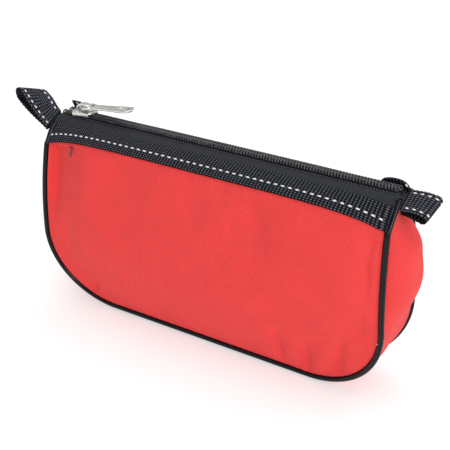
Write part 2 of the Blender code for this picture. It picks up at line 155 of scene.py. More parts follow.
# The panels' cloth is cut a little longer than its seams, and settles into soft folds.
SETTLE_SLACK = 0.006
SETTLE_PRESSURE = 1.0
SETTLE_FRAMES = 18
SETTLE_GRID = (121, 57)

# The mouth opens between these places, and stays shut beyond them.
MOUTH_LEFT = (-98.7 * MM, -45 * MM)
MOUTH_RIGHT = (72 * MM, 22 * MM)

# Camera.
CAMERA_AZIMUTH = math.radians(32.06)
CAMERA_ELEVATION = math.radians(27.0)
CAMERA_DISTANCE = 0.495
CAMERA_TARGET = Vector((0.004, 0.0, 0.066))
CAMERA_LENS = 75.8
SENSOR_WIDTH = 36

# Light: the sky's strength towards -X and +X, the floor's glow, and each lamp's name, kind, place,
# angle or width, and power.
SKY = (0.52, 0.64)
FLOOR_GLOW = 0.45
FLOOR_HALF = 20
FLOOR_DROP = 0.3 * MM
LAMPS = (
    ("key", "SUN", (0.68, -0.56, 0.46), math.radians(20), 0.75),
    ("top", "SUN", (0.0, 0.2, 1.0), math.radians(60), 1.2),
    ("softbox", "AREA", (0.34, -0.68, 0.42), 0.30, 0.7),
    ("strip", "AREA", (0.60, -0.16, 0.36), 0.10, 0.5),
)


# --- materials -------------------------------------------------------------------------------------


class Nodes:
    """A material's node tree, with short calls for what the materials here share."""

    def __init__(self, name, colour, roughness, metallic=0.0, sheen=0.0, woven=False, specular=0.5):
        self.material = bpy.data.materials.new(name)
        self.material.use_nodes = True
        self.tree = self.material.node_tree
        self.shader = self.tree.nodes["Principled BSDF"]
        self.colour = colour
        self.shader.inputs["Base Color"].default_value = (*colour, 1.0)
        self.shader.inputs["Roughness"].default_value = roughness
        self.shader.inputs["Metallic"].default_value = metallic
        self.shader.inputs["Sheen Weight"].default_value = sheen
        self.shader.inputs["Specular IOR Level"].default_value = specular
        self.place = self.add("ShaderNodeTexCoord").outputs["UV" if woven else "Object"]
        self.height = None

    def add(self, kind, **values):
        node = self.tree.nodes.new(kind)
        for key, value in values.items():
            setattr(node, key, value)
        return node

    def link(self, a, b):
        self.tree.links.new(a, b)

    def mirror_weave(self):
        """Makes diagonals rise to the right instead of falling."""
        flip = self.add("ShaderNodeVectorMath", operation="MULTIPLY")
        flip.inputs[1].default_value = (1.0, -1.0, 1.0)
        self.link(self.place, flip.inputs[0])
        self.place = flip.outputs["Vector"]

    def noise(self, scale, detail=3.0):
        node = self.add("ShaderNodeTexNoise")
        node.inputs["Scale"].default_value = scale
        node.inputs["Detail"].default_value = detail
        self.link(self.place, node.inputs["Vector"])
        return node.outputs["Fac"]

    def wave(self, pitch, direction, distortion=0.0):
        """Bands a pitch apart, in metres, along one axis or the diagonal."""
        node = self.add("ShaderNodeTexWave", wave_type="BANDS", bands_direction=direction)
        cycles = 2 * math.pi / 10 if direction == "DIAGONAL" else 2 * math.pi / 20
        node.inputs["Scale"].default_value = cycles / pitch
        node.inputs["Distortion"].default_value = distortion
        self.link(self.place, node.inputs["Vector"])
        return node.outputs["Fac"]

    def vary(self, factor, low, high, low_at=0.3, high_at=0.7):
        """The base colour times low to high as the factor goes from low_at to high_at."""
        ramp = self.add("ShaderNodeMapRange")
        for key, value in zip(("From Min", "From Max", "To Min", "To Max"), (low_at, high_at, low, high)):
            ramp.inputs[key].default_value = value
        self.link(factor, ramp.inputs["Value"])
        mix = self.add("ShaderNodeVectorMath", operation="SCALE")
        socket = self.shader.inputs["Base Color"]
        if socket.is_linked:
            self.link(socket.links[0].from_socket, mix.inputs[0])
        else:
            mix.inputs[0].default_value = self.colour
        self.link(ramp.outputs["Result"], mix.inputs["Scale"])
        self.link(mix.outputs["Vector"], socket)
        return self

    def rough(self, factor, low, high):
        ramp = self.add("ShaderNodeMapRange")
        ramp.inputs["To Min"].default_value = low
        ramp.inputs["To Max"].default_value = high
        self.link(factor, ramp.inputs["Value"])
        self.link(ramp.outputs["Result"], self.shader.inputs["Roughness"])
        return self

    def bump(self, factor, distance, strength=1.0):
        node = self.add("ShaderNodeBump")
        node.inputs["Distance"].default_value = distance
        node.inputs["Strength"].default_value = strength
        self.link(factor, node.inputs["Height"])
        if self.height is not None:
            self.link(self.height, node.inputs["Normal"])
        self.height = node.outputs["Normal"]
        self.link(self.height, self.shader.inputs["Normal"])
        return self


def make_materials():
    made = {}
    red = Nodes("red_twill", (0.86, 0.054, 0.052), 0.8, sheen=0.02, woven=True, specular=0.3)
    red.mirror_weave()
    twill = red.wave(TWILL_PITCH, "DIAGONAL", 0.4)
    yarn = red.wave(YARN_PITCH, "Y", 0.3)
    red.vary(twill, 0.58, 1.22, 0.0, 1.0).vary(yarn, 0.88, 1.07, 0.0, 1.0).vary(red.noise(60), 0.96, 1.04)
    red.bump(twill, 0.20 * MM, 0.7).bump(red.noise(1500), 0.06 * MM, 0.5)
    made["red"] = red

    pvc = Nodes("glossy_pvc", (0.004, 0.0044, 0.006), 0.15, specular=0.2)
    pvc.vary(pvc.noise(300), 0.8, 1.3).rough(pvc.noise(500), 0.08, 0.18).bump(pvc.noise(400), 0.05 * MM, 0.3)
    made["pvc"] = pvc

    webbing = Nodes("woven_webbing", (0.0075, 0.008, 0.0105), 0.6, woven=True, specular=0.12)
    beads_and_painted_glints = webbing.add("ShaderNodeMath", operation="MULTIPLY")
    webbing.link(webbing.wave(RIB_PITCH, "X", 0.1), beads_and_painted_glints.inputs[0])
    webbing.link(webbing.wave(BEAD_PITCH, "Y", 0.1), beads_and_painted_glints.inputs[1])
    beads_and_painted_glints = beads_and_painted_glints.outputs[0]
    # The colour rises up to seventeen times at the bead tops: painted highlights on the black webbing's
    # beads. The same pattern also drives the webbing's bump.
    webbing.vary(beads_and_painted_glints, 0.25, 17.0, 0.2, 1.0).vary(webbing.noise(500), 0.7, 1.35)
    webbing.bump(beads_and_painted_glints, 0.30 * MM, 0.9).bump(webbing.noise(2500), 0.06 * MM, 0.5)
    made["webbing"] = webbing

    tape = Nodes("zip_tape_weave", (0.018, 0.020, 0.026), 0.8, sheen=0.02, woven=True, specular=0.25)
    fine = tape.wave(0.5 * MM, "X", 0.3)
    tape.vary(fine, 0.8, 1.2, 0.0, 1.0).vary(tape.noise(300), 0.9, 1.15).bump(fine, 0.05 * MM, 0.5)
    made["tape"] = tape

    nylon = Nodes("coil_nylon", (0.028, 0.030, 0.034), 0.34, specular=0.7)
    nylon.vary(nylon.noise(600), 0.8, 1.3).rough(nylon.noise(900), 0.26, 0.42)
    made["nylon"] = nylon

    thread = Nodes("white_thread", (0.82, 0.82, 0.80), 0.6, sheen=0.2)
    ply = thread.wave(0.35 * MM, "DIAGONAL", 0.5)
    thread.vary(ply, 0.85, 1.05, 0.0, 1.0).bump(ply, 0.06 * MM, 0.6)
    made["thread"] = thread

    nickel = Nodes("nickel_plate", (0.74, 0.73, 0.70), 0.2, metallic=1.0)
    nickel.vary(nickel.noise(250), 0.88, 1.05).rough(nickel.noise(700), 0.14, 0.34)
    nickel.bump(nickel.noise(500), 0.05 * MM, 0.25)
    made["nickel"] = nickel

    steel = Nodes("brushed_steel", (0.52, 0.52, 0.53), 0.3, metallic=1.0)
    brush = steel.wave(0.2 * MM, "Y", 2.0)
    steel.vary(steel.noise(200), 0.9, 1.05).rough(brush, 0.24, 0.42).bump(brush, 0.02 * MM, 0.3)
    made["steel"] = steel

    gauze = Nodes("sealed_paper", (0.78, 0.81, 0.83), 0.62)
    gauze.vary(gauze.noise(120), 0.94, 1.03).bump(gauze.noise(500), 0.08 * MM, 0.5)
    made["gauze"] = gauze

    carton = Nodes("board", (0.70, 0.62, 0.48), 0.6)
    carton.vary(carton.noise(150), 0.93, 1.04).bump(carton.noise(1200), 0.03 * MM, 0.4)
    made["carton"] = carton

    sachet = Nodes("foil_paper", (0.74, 0.77, 0.80), 0.36)
    sachet.vary(sachet.noise(130), 0.94, 1.04).rough(sachet.noise(350), 0.28, 0.5)
    sachet.bump(sachet.noise(260), 0.18 * MM, 0.5)
    made["sachet"] = sachet

    crepe = Nodes("crepe_weave", (0.80, 0.74, 0.62), 0.9, sheen=0.2)
    crinkle = crepe.wave(0.9 * MM, "X", 2.5)
    crepe.vary(crinkle, 0.86, 1.05, 0.0, 1.0).bump(crinkle, 0.15 * MM, 0.7)
    made["crepe"] = crepe

    zinc = Nodes("zinc_tape_edge", (0.80, 0.77, 0.70), 0.8)
    cloth = zinc.wave(0.4 * MM, "DIAGONAL", 0.5)
    zinc.vary(cloth, 0.88, 1.04, 0.0, 1.0).bump(cloth, 0.05 * MM, 0.6)
    made["zinc"] = zinc

    core = Nodes("core_plastic", (0.75, 0.75, 0.74), 0.45)
    core.vary(core.noise(200), 0.95, 1.03).bump(core.noise(900), 0.02 * MM, 0.4)
    made["core"] = core
    return {name: nodes.material for name, nodes in made.items()}


paint = make_materials()


# --- mesh helpers ----------------------------------------------------------------------------------


def smooth(t):
    t = min(1.0, max(0.0, t))
    return t * t * (3 - 2 * t)


def add_object(name, data):
    obj = bpy.data.objects.new(name, data)
    bpy.context.scene.collection.objects.link(obj)
    return obj


def finished(name, mesh, material, sharp, merge=0.0):
    """An object of a mesh with its faces outward, smooth but for its sharp edges, in one material."""
    work = bmesh.new()
    work.from_mesh(mesh)
    if merge:
        bmesh.ops.remove_doubles(work, verts=work.verts, dist=merge)
    bmesh.ops.recalc_face_normals(work, faces=work.faces)
    work.to_mesh(mesh)
    work.free()
    mesh.shade_smooth()
    mesh.set_sharp_from_angle(angle=math.radians(sharp))
    mesh.materials.clear()
    mesh.materials.append(material)
    return add_object(name, mesh)


def make_object(name, vertices, faces, material):
    mesh = bpy.data.meshes.new(name)
    mesh.from_pydata([tuple(v) for v in vertices], [], faces)
    return finished(name, mesh, material, 40)


def shell_faces(rows, columns):
    """Faces of a closed shell between two grids of rows by columns, the second after the first."""
    count = columns * rows
    faces = []
    for j in range(rows - 1):
        for i in range(columns - 1):
            a = j * columns + i
            quad = (a, a + 1, a + columns + 1, a + columns)
            faces += [quad, tuple(count + k for k in reversed(quad))]
    edge = list(range(columns)) + [j * columns + columns - 1 for j in range(1, rows)]
    edge += [(rows - 1) * columns + i for i in range(columns - 2, -1, -1)]
    edge += [j * columns for j in range(rows - 2, 0, -1)]
    for k, a in enumerate(edge):
        b = edge[(k + 1) % len(edge)]
        faces.append((b, a, count + a, count + b))
    return faces


def cloth_sheet(name, us, vs, point, thickness, material, centred=False, across=None, flat=False):
    """A closed thin sheet over a grid of point(u, v); us run across it and vs up it.

    The weave follows the cloth's own length, or across where the ribs have to line up with it, or for
    a flat panel its place in the X and Z directions, so that the threads stay straight at its corners.
    """
    columns, rows = len(us), len(vs)
    spots = np.array([[tuple(point(u, v)) for u in us] for v in vs])
    along = np.gradient(spots, axis=1)
    up = np.gradient(spots, axis=0)
    normals = np.cross(along, up)
    normals /= np.maximum(np.linalg.norm(normals, axis=2, keepdims=True), 1e-12)
    near = spots + normals * (thickness / 2 if centred else 0.0)
    far = spots - normals * (thickness / 2 if centred else thickness)
    vertices = np.concatenate([near.reshape(-1, 3), far.reshape(-1, 3)])
    obj = make_object(name, vertices, shell_faces(rows, columns), material)
    across = np.asarray(distances(spots[rows // 2]) if across is None else across)
    upward = distances(spots[:, columns // 2])
    layer = obj.data.uv_layers.new(name="weave")
    corners = np.empty(len(obj.data.loops), np.int32)
    obj.data.loops.foreach_get("vertex_index", corners)
    corners %= columns * rows
    weave = np.stack([across[corners % columns], upward[corners // columns]], axis=1)
    if flat:
        weave = spots[:, :, (0, 2)].reshape(-1, 2)[corners]
    layer.data.foreach_set("uv", weave.ravel())
    return obj


def distances(line):
    """How far along a line each of its points lies."""
    return np.concatenate([[0.0], np.cumsum(np.linalg.norm(np.diff(line, axis=0), axis=1))])


def frames_along(points):
    """Unit tangents of a line, and two unit vectors across it that don't spin."""
    points = np.asarray(points, float)
    tangents = np.gradient(points, axis=0)
    tangents /= np.maximum(np.linalg.norm(tangents, axis=1, keepdims=True), 1e-12)
    side = np.cross(tangents[0], (0.0, 0.0, 1.0))
    if np.linalg.norm(side) < 1e-3:
        side = np.cross(tangents[0], (0.0, 1.0, 0.0))
    sides = []
    for tangent in tangents:
        side = side - tangent * float(side @ tangent)
        side /= np.linalg.norm(side)
        sides.append(side)
    sides = np.array(sides)
    return points, sides, np.cross(tangents, sides)


def ring_faces(rings, around, start=0):
    """Faces of rings joined one after another, with a cap at each end."""
    faces = []
    for i in range(rings - 1):
        for k in range(around):
            a, b = start + i * around + k, start + i * around + (k + 1) % around
            faces.append((a, b, b + around, a + around))
    faces.append(tuple(start + k for k in reversed(range(around))))
    last = start + (rings - 1) * around
    faces.append(tuple(last + k for k in range(around)))
    return faces


def tube_data(points, radii, around=8, start=0):
    """Vertices and faces of a closed tube, whose radius may change along it."""
    points, sides, ups = frames_along(points)
    turn = 2 * math.pi * np.arange(around) / around
    ring = np.cos(turn)[None, :, None] * sides[:, None, :] + np.sin(turn)[None, :, None] * ups[:, None, :]
    vertices = (points[:, None, :] + ring * np.asarray(radii, float)[:, None, None]).reshape(-1, 3)
    return vertices, ring_faces(len(points), around, start)


def tube(name, points, radius, material, around=12):
    vertices, faces = tube_data(points, [radius] * len(points), around)
    return make_object(name, vertices, faces, material)


def resample(line, pitch, length, start=0.5):
    """Stretches of a line, each a length long and a pitch after the last."""
    line = np.asarray(line, float)
    run = distances(line)
    found = []
    at = start * pitch
    while at + length < run[-1]:
        stops = np.linspace(at, at + length, 6)
        found.append(np.stack([np.interp(stops, run, line[:, k]) for k in range(3)], axis=1))
        at += pitch
    return found


def stitches(name, lines, material, keep=lambda spot: True, size=(STITCH_PITCH, STITCH_LENGTH, STITCH_R)):
    """Rows of short thread dashes, plump in the middle and sunk at their ends."""
    vertices, faces = [], []
    pitch, length, radius = size
    shape = radius * np.array([0.35, 0.85, 1.0, 1.0, 0.85, 0.35])
    total = 0
    for line in lines:
        for dash in resample(line, pitch, length):
            if keep(dash[2]):
                made, quads = tube_data(dash, shape, 8, total)
                vertices.append(made)
                faces += quads
                total += len(made)
    return make_object(name, np.concatenate(vertices), faces, material) if vertices else None


def rib(run):
    """Height of the webbing's cross ribs at a distance along it."""
    return RIB_HEIGHT * abs(math.sin(math.pi * run / RIB_PITCH)) ** 0.7


def selvedge(share):
    """Thinning of a webbing towards its two edges, share 0 to 1 across it."""
    return -0.3 * MM * (1 - smooth(min(share, 1 - share) / 0.07))


# --- the shared shape of the pouch -----------------------------------------------------------------


def half_width(z, inset=0.0):
    if z >= PIPE_Z + CORNER_R:
        rise = min(1.0, (z - PIPE_Z - CORNER_R) / (END_Z[FRONT] - PIPE_Z - CORNER_R))
        return HALF_BASE + (HALF_TOP - HALF_BASE) * rise - inset
    drop = PIPE_Z + CORNER_R - z
    reach = max(0.0, (CORNER_R - inset) ** 2 - drop**2)
    return HALF_BASE - CORNER_R + math.sqrt(reach)


def seam_depth(z, side):
    top_z = END_Z[side]
    if z > top_z:
        share = (z - top_z) / (ZIP_Z - 1.8 * MM - top_z)
        return END_DEPTH[side] + (TAPE_FLAT - END_DEPTH[side]) * share
    low = (z - MID_Z) * (z - top_z) / ((PIPE_Z - MID_Z) * (PIPE_Z - top_z))
    mid = (z - PIPE_Z) * (z - top_z) / ((MID_Z - PIPE_Z) * (MID_Z - top_z))
    high = (z - PIPE_Z) * (z - MID_Z) / ((top_z - PIPE_Z) * (top_z - MID_Z))
    return BASE_DEPTH * low + MID_DEPTH[side] * mid + END_DEPTH[side] * high


def fullness(u):
    return 1 - abs(u) ** 6


def lip_edge(u, side):
    full = fullness(u)
    depth = END_DEPTH[side] + (LIP_DEPTH[side] - END_DEPTH[side]) * full
    return depth, END_Z[side] + (LIP_Z[side] - END_Z[side]) * full


def seam_path(top_z, steps_side=60, steps_corner=40, steps_base=60):
    corner_z = PIPE_Z + CORNER_R
    corner_x = HALF_BASE - CORNER_R
    right = [(corner_x * 2 * i / steps_base, PIPE_Z, 0.0, -1.0) for i in range(steps_base // 2 + 1)]
    for i in range(1, steps_corner + 1):
        turn = math.pi / 2 * i / steps_corner
        out = (math.sin(turn), -math.cos(turn))
        right.append((corner_x + CORNER_R * out[0], corner_z + CORNER_R * out[1], *out))
    for i in range(1, steps_side + 1):
        z = corner_z + (top_z - corner_z) * i / steps_side
        right.append((half_width(z), z, 1.0, 0.0))
    left = [(-x, z, -nx, nz) for x, z, nx, nz in reversed(right[1:])]
    return left + right


def lip_point(u, t, side, lift):
    depth, z = lip_edge(u, side)
    run = Vector((TAPE_FLAT - depth, TAPE_Z - z))
    normal = Vector((run.y, -run.x)).normalized()
    crown = LIP_CROWN * math.sin(math.pi * t) + lift
    spot = Vector((depth, z)) + run * t + normal * crown
    return (-side * u * LIP_HALF, side * spot.x, spot.y)


def spread(x):
    return COIL_SPREAD * smooth((SPREAD_X - x) / SPREAD_LENGTH)


# --- body ------------------------------------------------------------------------------------------

# Soft folds of the cloth: from (x, z) to (x, z), half width and depth, all in millimetres.
# A negative depth is a ridge.
FOLDS = {
    FRONT: (
        ((-84, 50), (-90, 30), 6.0, 1.3),
        ((-76, 8), (-70, 18), 2.4, 1.8),
        ((49, 30), (48, 8), 2.8, 1.9),
        ((64, 26), (63, 6), 2.4, 2.0),
        ((83, 32), (80, 11), 2.8, 1.8),
        ((56, 26), (55, 8), 3.0, -0.9),
        ((73, 28), (71, 8), 3.0, -0.9),
        ((31, 101), (39, 78), 7.0, 2.2),
        ((93, 96), (94, 62), 2.8, 1.7),
        ((-20, 12), (10, 9), 5.0, 0.6),
        ((-45, 96), (-20, 90), 6.0, 0.7),
    ),
    BACK: (
        ((60, 98), (70, 60), 7.0, 1.6),
        ((-70, 95), (-64, 55), 7.0, 1.4),
        ((-10, 14), (30, 12), 5.0, 0.8),
        ((84, 30), (78, 10), 3.0, 1.1),
    ),
}


def fold_depth(x, z, side):
    """How far the cloth is pushed in at a place by its folds."""
    total = 0.0
    spot = Vector((x, z)) / MM
    for start, end, width, depth in FOLDS[side]:
        a, b = Vector(start), Vector(end)
        along = b - a
        share = min(1.0, max(0.0, (spot - a).dot(along) / along.length_squared))
        off = (spot - a - along * share).length
        total += depth * MM * math.exp(-((off / width) ** 2)) * (0.55 + 0.45 * math.sin(math.pi * share))
    return total


def corner_turn(x, z, side):
    """How far the cloth slants back to the seam below the zip's shut end, where little fills it."""
    if side == BACK:
        return 0.0
    share = (x - CORNER_TURN_X[0]) / (CORNER_TURN_X[1] - CORNER_TURN_X[0])
    slant = max(0.0, 1 - max(0.0, share)) * (1 - smooth((share - 0.8) / 0.4) * 0.5)
    return CORNER_TURN * slant * smooth((z - CORNER_TURN_Z[0]) / (CORNER_TURN_Z[1] - CORNER_TURN_Z[0]))


def slack(x, z, side):
    """Slow unevenness of the filled cloth."""
    spot = Vector((x * 22, side * 5.0, z * 26))
    return 0.9 * MM * noise.noise(spot) + 0.35 * MM * noise.noise(spot * 2.7)


def panel_point(side):
    low_z = PIPE_Z + END_SHIFT

    def point(u, v):
        if v > 1:
            return lip_point(u, v - 1, side, TAPE / 2 + 0.2 * MM)
        v = v**ROW_CROWDING
        edge_z = low_z + (END_Z[side] - PANEL_TOP_GAP - low_z) * v
        width = half_width(edge_z, END_SHIFT)
        top_z = lip_edge(u, side)[1] - PANEL_TOP_GAP
        z = low_z + (top_z - low_z) * v
        round_full = 1 - abs(u) ** 2.6
        top_full = round_full + (fullness(u) - round_full) * v
        swell = (LIP_DEPTH[side] - END_DEPTH[side]) * v * top_full
        swell += PANEL_BULGE * math.sin(math.pi * v) * round_full
        x = -side * u * width
        held = smooth((1 - abs(u)) / 0.05) * smooth(v / 0.05) * smooth((1 - v) / 0.06)
        caught = smooth((1 - abs(u)) / 0.05) * smooth((1 - v) / 0.02)
        soft = (slack(x, z, side) - fold_depth(x, z, side)) * held - corner_turn(x, z, side) * caught
        return (x, side * (seam_depth(edge_z, side) + swell + soft), z)

    return point


def settle(side):
    """Runs the panel as cloth held at its seams, and gives how far each place of it moves."""
    us, vs = (np.linspace(low, 1, count) for low, count in zip((-1, 0), SETTLE_GRID))
    point = panel_point(side)
    start = np.array([point(u, v) for v in vs for u in us])
    columns, rows = SETTLE_GRID
    faces = [(a, a + 1, a + columns + 1, a + columns)
             for j in range(rows - 1) for a in range(j * columns, (j + 1) * columns - 1)]
    mesh = bpy.data.meshes.new("settling")
    mesh.from_pydata(start.tolist(), [], faces)
    obj = add_object("settling", mesh)
    held = obj.vertex_groups.new(name="seams")
    held.add([j * columns + i for j in range(rows) for i in range(columns)
              if i in (0, columns - 1) or j in (0, rows - 1)], 1.0, "REPLACE")
    cloth = obj.modifiers.new("cloth", "CLOTH")
    cloth.settings.vertex_group_mass = "seams"
    cloth.settings.quality = 6
    cloth.settings.mass = 0.02
    cloth.settings.tension_stiffness = cloth.settings.compression_stiffness = 20
    cloth.settings.shear_stiffness = 8
    cloth.settings.bending_stiffness = 0.5
    cloth.settings.use_pressure = True
    cloth.settings.uniform_pressure_force = SETTLE_PRESSURE
    cloth.settings.shrink_min = -SETTLE_SLACK
    cloth.settings.effector_weights.gravity = 0
    cloth.collision_settings.use_collision = False
    for step in range(1, SETTLE_FRAMES + 1):
        bpy.context.scene.frame_set(step)
    shaped = obj.evaluated_get(bpy.context.evaluated_depsgraph_get()).to_mesh()
    moved = np.array([tuple(vertex.co) for vertex in shaped.vertices]) - start
    bpy.data.objects.remove(obj, do_unlink=True)
    bpy.context.scene.frame_set(1)
    outward = (moved[:, 1] * side).reshape(rows, columns)

    def shift(u, v):
        across, upward = (u + 1) / 2 * (columns - 1), v * (rows - 1)
        i, j = min(int(across), columns - 2), min(int(upward), rows - 2)
        a, b = across - i, upward - j
        low = outward[j, i] * (1 - a) + outward[j, i + 1] * a
        high = outward[j + 1, i] * (1 - a) + outward[j + 1, i + 1] * a
        return Vector((0.0, side * (low * (1 - b) + high * b), 0.0))

    return shift


def make_panels():
    us = np.sin(np.linspace(-math.pi / 2, math.pi / 2, 191)) * 0.35 + np.linspace(-1, 1, 191) * 0.65
    for side in (FRONT, BACK):
        node = WORDS[side] + "_panel"
        vs = [*np.linspace(0, 1, 111), *TUCK]
        shape, shift = panel_point(side), settle(side)

        def draped(u, v, shape=shape, shift=shift):
            return tuple(Vector(shape(u, v)) + (shift(u, v) if v <= 1 else Vector()))

        obj = cloth_sheet(WORDS[side] + "_cloth", us, vs, draped, CLOTH, paint["red"], flat=True)
        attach(obj, "pouch")
        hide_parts(node)


def gusset_fullness(z):
    """How much of its swell the gusset has at a height: none at the corners and none at the zip."""
    filling = smooth((z - BULGE_FROM) / (BULGE_FULL - BULGE_FROM))
    return filling * smooth((BULGE_TO - z) / (BULGE_TO - BULGE_FADE))


def make_gusset():
    path = seam_path(GUSSET_TOP_Z)
    last = len(path) - 1

    def inset(z, side):
        return END_SHIFT + SLANT_INSET * smooth((z - END_Z[side] + 4 * MM) / (4 * MM))

    def point(u, v):
        x, z, out_x, out_z = path[round(v * last)]
        rise = smooth((z - PIPE_Z) / (24 * MM))
        swell = GUSSET_BULGE[RIGHT if x > 0 else LEFT] * gusset_fullness(z) * (1 - abs(u) ** 3)
        held = rise * smooth((1 - abs(u)) / 0.3) * smooth((END_Z[BACK] - z) / (20 * MM))
        loose = 1.2 * MM * noise.noise(Vector((u * 1.3 + (3 if x > 0 else 8), z * 45, 2.0))) * held
        shift = PIPE_Z + (0.3 * MM - PIPE_Z) * rise + swell + loose
        front, back = (side * (seam_depth(z, side) - inset(z, side)) for side in (FRONT, BACK))
        y = front + (back - front) * (1 + u) / 2
        return (x + out_x * shift, y, z + out_z * shift)

    us, vs = np.linspace(-1, 1, 33), np.linspace(0, 1, last + 1)
    obj = cloth_sheet("gusset_cloth", us, vs, point, CLOTH, paint["red"])
    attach(obj, "pouch")
    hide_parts("gusset")


def make_end_tabs():
    """Webbing folded over each top end of the gusset, where the loop and the zip's end are sewn in."""
    for word, sign, drop in (("left", -1, 10.5 * MM), ("right", 1, 5.0 * MM)):
        def point(u, v, sign=sign, drop=drop):
            z = GUSSET_TOP_Z - drop * max(0.0, 1 - v) + 0.5 * MM
            reach = [seam_depth(min(z, GUSSET_TOP_Z), side) - 1.6 * MM for side in (FRONT, BACK)]
            y = -reach[0] + (reach[1] + reach[0]) * (1 + u) / 2
            over = max(0.0, v - 1) * 20 * MM
            return (sign * (half_width(z) + 0.85 * MM + 0.2 * MM * (1 - u * u) - over), y, z)

        us = np.linspace(-1, 1, 33) if sign > 0 else np.linspace(1, -1, 33)
        vs = [*np.linspace(0, 1, 21), 1.06, 1.12]
        obj = cloth_sheet(f"end_tab_{word}", us, vs, point, 0.5 * MM, paint["webbing"])
        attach(obj, "pouch")


def make_pipings():
    """A cord in the seam. Its hem runs up the slant of the zip's end as well."""
    path = seam_path(GUSSET_TOP_Z)
    for side in (FRONT, BACK):
        points = [(x, side * seam_depth(z, side), z) for x, z, _, _ in path]
        obj = tube(WORDS[side] + "_piping_cord", points, PIPE_R, paint["pvc"], 16)
        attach(obj, "pouch")
        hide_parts(WORDS[side] + "_piping")


# --- lips ------------------------------------------------------------------------------------------


def halves(node, make):
    """Makes a lip's piece in two halves, one from each end to its middle."""
    side = FRONT if node.startswith("front") else BACK
    for word, (start, end), low, high in (
        ("left", MOUTH_LEFT, -1.0, 0.0),
        ("right", MOUTH_RIGHT, 0.0, 1.0),
    ):
        obj = make(word, side, low, high)
        if obj is None:
            continue
        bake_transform(obj)
        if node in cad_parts:
            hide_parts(node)


def reach_out(x):
    """Carries the last of a lip out to the piping, where the two are sewn together."""
    return x + math.copysign(BAND_REACH * smooth((abs(x) / LIP_HALF - 0.97) / 0.03), x)


def make_lips():
    columns = int(2 * LIP_HALF / RIB_PITCH) * 6

    def span(low, high, count):
        return np.linspace(low, high, count)

    def grid_u(side, low, high, count):
        lo, hi = (low, high) if side == FRONT else (-high, -low)
        return span(lo, hi, count)

    def band(word, side, low, high):
        lift = TAPE / 2 + GAP + WEBBING

        def point(u, v):
            x, y, z = lip_point(u, v * BAND_SHARE, side, lift + rib(u * LIP_HALF) + selvedge(v))
            return (reach_out(x), y, z)

        us = grid_u(side, low, high, columns // 2 + 1)
        return cloth_sheet(f"{WORDS[side]}_webbing_{word}", us, span(0, 1, 25), point, WEBBING,
                           paint["webbing"], across=us * LIP_HALF)

    def hem(word, side, low, high):
        """The panel's seam allowance, turned in under the band, so the open mouth has no slit at the seam."""
        def point(u, v):
            folded = Vector(lip_point(u, HEM_SHARE * max(0.0, v - 0.4) / 0.6, side, -HEM_INSIDE))
            if v >= 0.4:
                return folded
            depth, z = lip_edge(u, side)
            lower = Vector((folded.x, side * (depth - HEM_FOLD[0]), z - HEM_FOLD[1]))
            return folded.lerp(lower, 1 - v / 0.4)

        us = grid_u(side, low, high, 61) * HEM_REACH
        return cloth_sheet(f"{WORDS[side]}_hem_{word}", us, span(0, 1, 16), point, CLOTH, paint["red"])

    def tape(word, side, low, high):
        def point(u, v):
            if v <= 0.8:
                x, y, z = lip_point(u, TAPE_START + (1 - TAPE_START) * v / 0.8, side, TAPE / 2)
                return (reach_out(x), y, z)
            x = -side * u * LIP_HALF
            edge = Vector(lip_point(u, 1.0, side, TAPE / 2))
            edge.x = reach_out(edge.x)
            inner = Vector((x, side * (TAPE_INNER + spread(x)), TAPE_Z + TAPE / 2))
            return edge.lerp(inner, (v - 0.8) / 0.2)

        us = grid_u(side, low, high, 121)
        return cloth_sheet(f"{WORDS[side]}_tape_{word}", us, span(0, 1, 26), point, TAPE, paint["tape"])

    def coil(word, side, low, high):
        turns = int(LIP_HALF / COIL_PITCH)
        steps = 12
        offset = 0.5 if side == BACK else 0.0
        middle, reach = (COIL_OUTER + COIL_INNER) / 2, (COIL_OUTER - COIL_INNER) / 2
        points = []
        for i in range(turns * steps + 1):
            turn = i / steps
            x = low * LIP_HALF + COIL_PITCH * (turn + offset)
            x = min(max(x, low * LIP_HALF), high * LIP_HALF)
            angle = 2 * math.pi * turn
            y = middle - reach * math.cos(angle)
            points.append((x, side * (y + spread(x)), ZIP_Z + (COIL_R - COIL_WIRE) * math.sin(angle)))
        return tube(f"{WORDS[side]}_coil_{word}", points, COIL_WIRE, paint["nylon"], 6)

    def dashes(word, side, low, high):
        lift = TAPE / 2 + GAP + WEBBING + RIB_HEIGHT * 0.8
        us = grid_u(side, -1.0, 1.0, 801)
        line = [lip_point(u, BAND_STITCH_SHARE, side, lift) for u in us]
        return stitches(f"{WORDS[side]}_stitches_{word}", [line], paint["thread"],
                        lambda spot: low * LIP_HALF <= spot[0] < high * LIP_HALF)

    def coil_stitches(word, side, low, high):
        xs = np.linspace(-LIP_HALF, LIP_HALF, 401)
        lines = [[(x, side * (away + spread(x)), TAPE_Z + TAPE / 2 + up) for x in xs]
                 for away, up in ((COIL_OUTER + 0.75 * MM, 0.25 * MM), (1.5 * MM, 2.4 * MM))]
        return stitches(f"{WORDS[side]}_coil_stitches_{word}", lines, paint["nylon"],
                        lambda spot: low * LIP_HALF <= spot[0] < high * LIP_HALF, COIL_STITCH)

    for side in (FRONT, BACK):
        halves(WORDS[side] + "_coil_stitches", coil_stitches)
        halves(WORDS[side] + "_band", band)
        halves(WORDS[side] + "_hem", hem)
        halves(WORDS[side] + "_zip_tape", tape)
        halves(WORDS[side] + "_coil", coil)
        halves(WORDS[side] + "_stitches", dashes)


